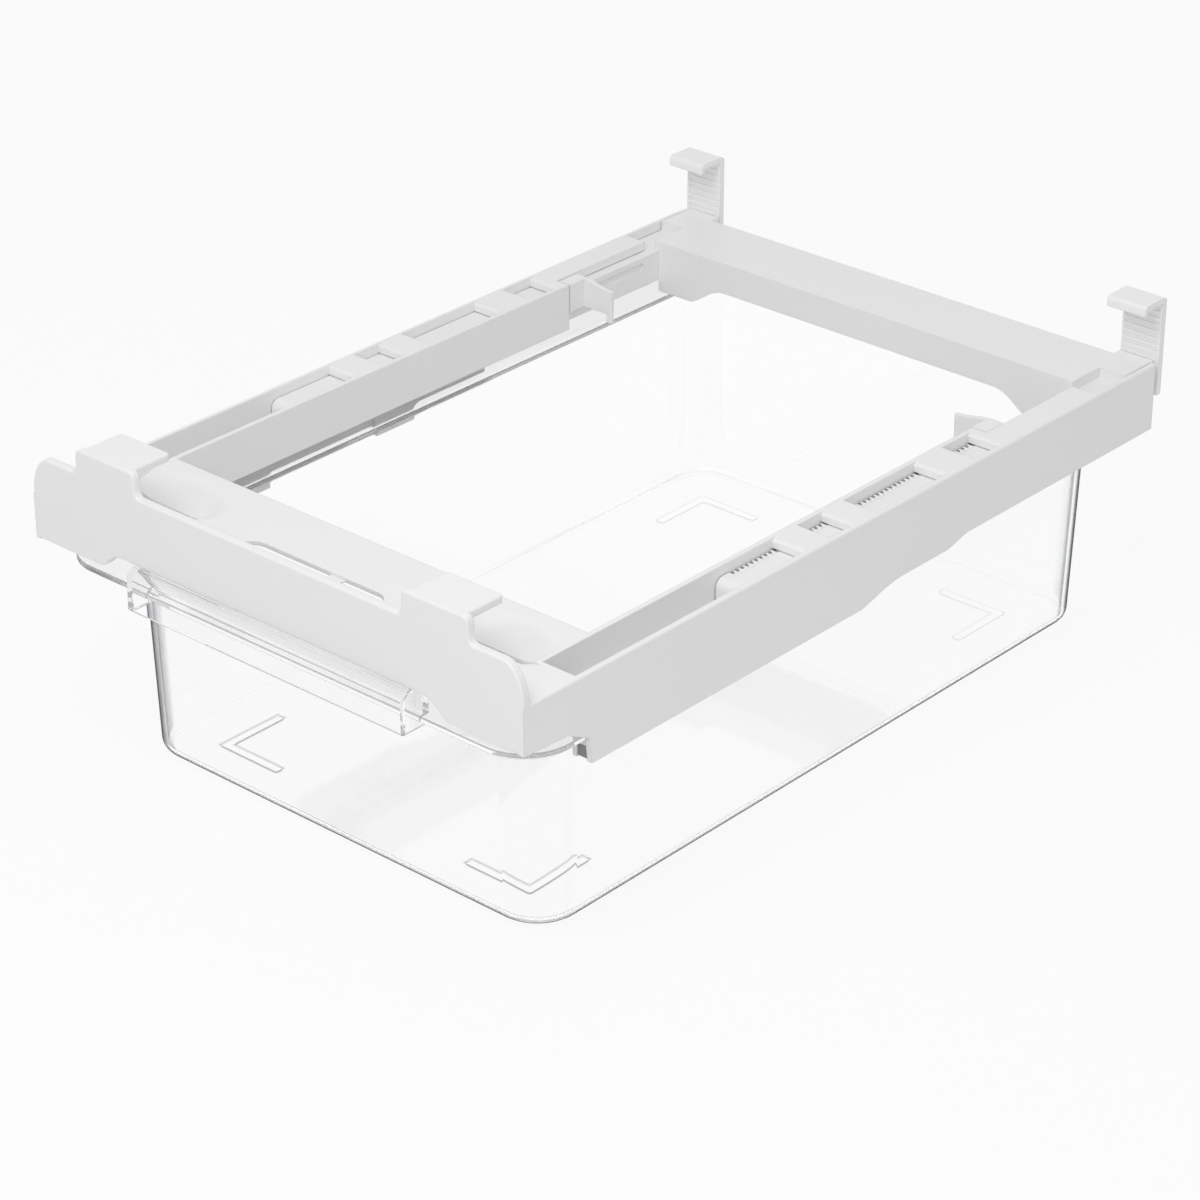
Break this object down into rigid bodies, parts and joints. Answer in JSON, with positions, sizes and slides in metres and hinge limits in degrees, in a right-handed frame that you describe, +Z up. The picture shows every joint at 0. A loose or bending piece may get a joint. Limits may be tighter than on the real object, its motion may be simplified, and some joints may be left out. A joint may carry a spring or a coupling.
{
  "type": "fridge drawer organizer",
  "caption": "Telescopic white frame that clips under a shelf and carries a clear pull-out drawer with a lip handle.",
  "frame": {"origin": "middle of the object's box, on the surface the drawer stands on", "axes": "+Z up, +Y from the front panel to the back, +X to the right seen from the front"},
  "size_m": [0.206, 0.3172, 0.1186],
  "materials": {
    "white_plastic": "satin white ABS",
    "clip_plastic": "satin white ABS",
    "clear_plastic": "clear, smooth"
  },
  "bodies": {
    "front_frame": {"front_frame": "white_plastic"},
    "rear_frame": {"rear_frame": "white_plastic"},
    "drawer": {"drawer": "clear_plastic"},
    "right_rear_clip": {"right_rear_clip": "clip_plastic"},
    "left_rear_clip": {"left_rear_clip": "clip_plastic"},
    "right_length_latch": {"right_length_latch": "white_plastic"},
    "left_length_latch": {"left_length_latch": "white_plastic"}
  },
  "joints": [
    {"name": "drawer_slide", "type": "slide", "parent": "front_frame", "child": "drawer", "axis": [0, -1, 0], "range_m": [0, 0.24]},
    {"name": "frame_extend", "type": "slide", "parent": "front_frame", "child": "rear_frame", "axis": [0, 1, 0], "range_m": [0, 0.08]},
    {"name": "right_clip_height", "type": "slide", "parent": "rear_frame", "child": "right_rear_clip", "axis": [0, 0, 1], "range_m": [-0.01, 0.0055]},
    {"name": "left_clip_height", "type": "slide", "parent": "rear_frame", "child": "left_rear_clip", "axis": [0, 0, 1], "range_m": [-0.01, 0.0055]},
    {"name": "right_latch_lift", "type": "hinge", "parent": "front_frame", "child": "right_length_latch", "pos_m": [0.0912, 0.0793, 0.0946], "axis": [0, 1, 0], "range_deg": [0, 12], "stiffness_Nm_per_rad": 0.02, "springref_deg": -11.46},
    {"name": "left_latch_lift", "type": "hinge", "parent": "front_frame", "child": "left_length_latch", "pos_m": [-0.0912, 0.0793, 0.0946], "axis": [0, -1, 0], "range_deg": [0, 12], "stiffness_Nm_per_rad": 0.02, "springref_deg": -11.46}
  ]
}
